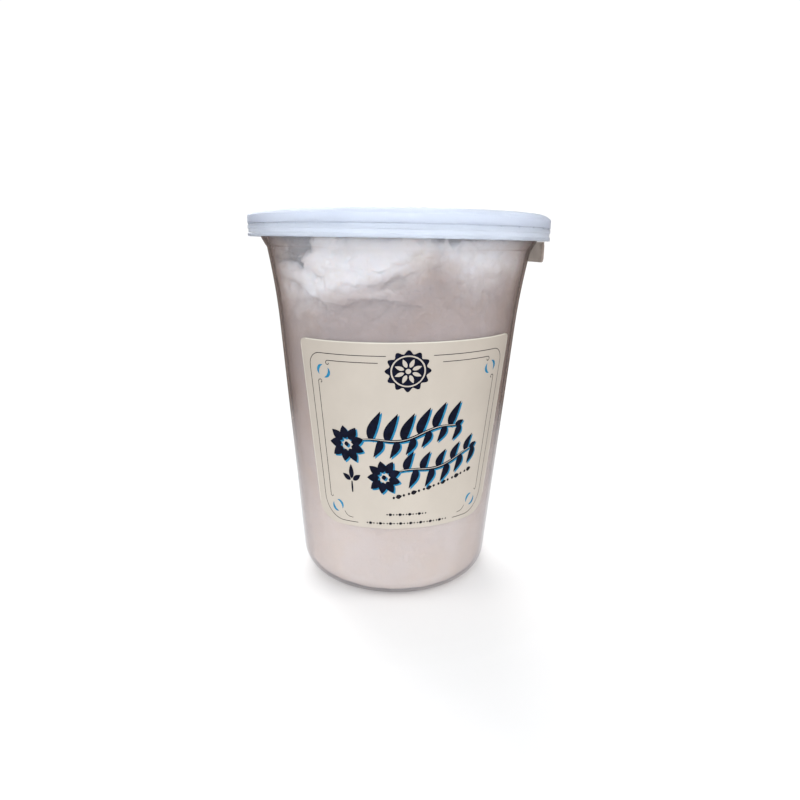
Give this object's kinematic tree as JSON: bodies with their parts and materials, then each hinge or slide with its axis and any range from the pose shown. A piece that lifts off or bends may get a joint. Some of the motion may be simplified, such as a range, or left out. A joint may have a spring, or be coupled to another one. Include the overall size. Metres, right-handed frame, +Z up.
{
  "type": "cotton candy tub",
  "caption": "Clear tapered plastic tub of white cotton candy with a milky snap lid, a tear strip with a pull tab, and paper labels.",
  "frame": {"origin": "centre of the foot, on the surface the tub stands on", "axes": "+Z up through the lid, -Y out of the front label, +X to the viewer's right, where the pull tab hangs"},
  "size_m": [0.118, 0.118, 0.148],
  "materials": {
    "clear_plastic": "clear, thin-walled, glossy",
    "milky_plastic": "milky, pale blue, satin gloss",
    "tab_plastic": "clear, thin, glossy",
    "front_paper": "cream, satin, printed",
    "back_paper": "cream, satin, printed",
    "spun_sugar": "fluffy, fibrous, matt"
  },
  "bodies": {
    "tub": {"tub": "clear_plastic", "front_label": "front_paper", "back_label": "back_paper", "tear_strip": "milky_plastic", "floss_wad_base": "spun_sugar", "floss_wad_middle": "spun_sugar", "floss_wad_shoulder": "spun_sugar", "floss_tuft_left": "spun_sugar", "floss_tuft_front_left": "spun_sugar", "floss_tuft_front": "spun_sugar", "floss_tuft_right": "spun_sugar", "floss_tuft_back": "spun_sugar"},
    "lid": {"lid": "milky_plastic"},
    "strip_1": {"strip_link_1": "milky_plastic"},
    "strip_2": {"strip_link_2": "milky_plastic"},
    "strip_3": {"strip_link_3": "milky_plastic"},
    "strip_4": {"strip_link_4": "milky_plastic"},
    "tab": {"pull_tab": "tab_plastic"}
  },
  "joints": [
    {"name": "lid_lift", "type": "slide", "parent": "tub", "child": "lid", "axis": [0, 0, 1], "range_m": [0, 0.04]},
    {"name": "strip_peel", "type": "hinge", "parent": "tub", "child": "strip_1", "pos_m": [-0.01126, 0.05792, 0.1405], "axis": [0, 0, 1], "range_deg": [0, 22]},
    {"name": "strip_bend_2", "type": "hinge", "parent": "strip_1", "child": "strip_2", "pos_m": [0.01427, 0.05725, 0.1405], "axis": [0, 0, 1], "range_deg": [0, 22]},
    {"name": "strip_bend_3", "type": "hinge", "parent": "strip_2", "child": "strip_3", "pos_m": [0.03713, 0.04585, 0.1405], "axis": [0, 0, 1], "range_deg": [0, 22]},
    {"name": "strip_bend_4", "type": "hinge", "parent": "strip_3", "child": "strip_4", "pos_m": [0.05303, 0.02586, 0.1405], "axis": [0, 0, 1], "range_deg": [0, 22]},
    {"name": "pull_tab_flip", "type": "hinge", "parent": "strip_4", "child": "tab", "pos_m": [0.05791, 0.01073, 0.13835], "axis": [0.1822, -0.9833, 0], "range_deg": [0, 90]}
  ],
  "couplings": [
    {"joint": "strip_bend_2", "follows": "strip_peel", "ratio": 1},
    {"joint": "strip_bend_3", "follows": "strip_peel", "ratio": 1},
    {"joint": "strip_bend_4", "follows": "strip_peel", "ratio": 1}
  ]
}
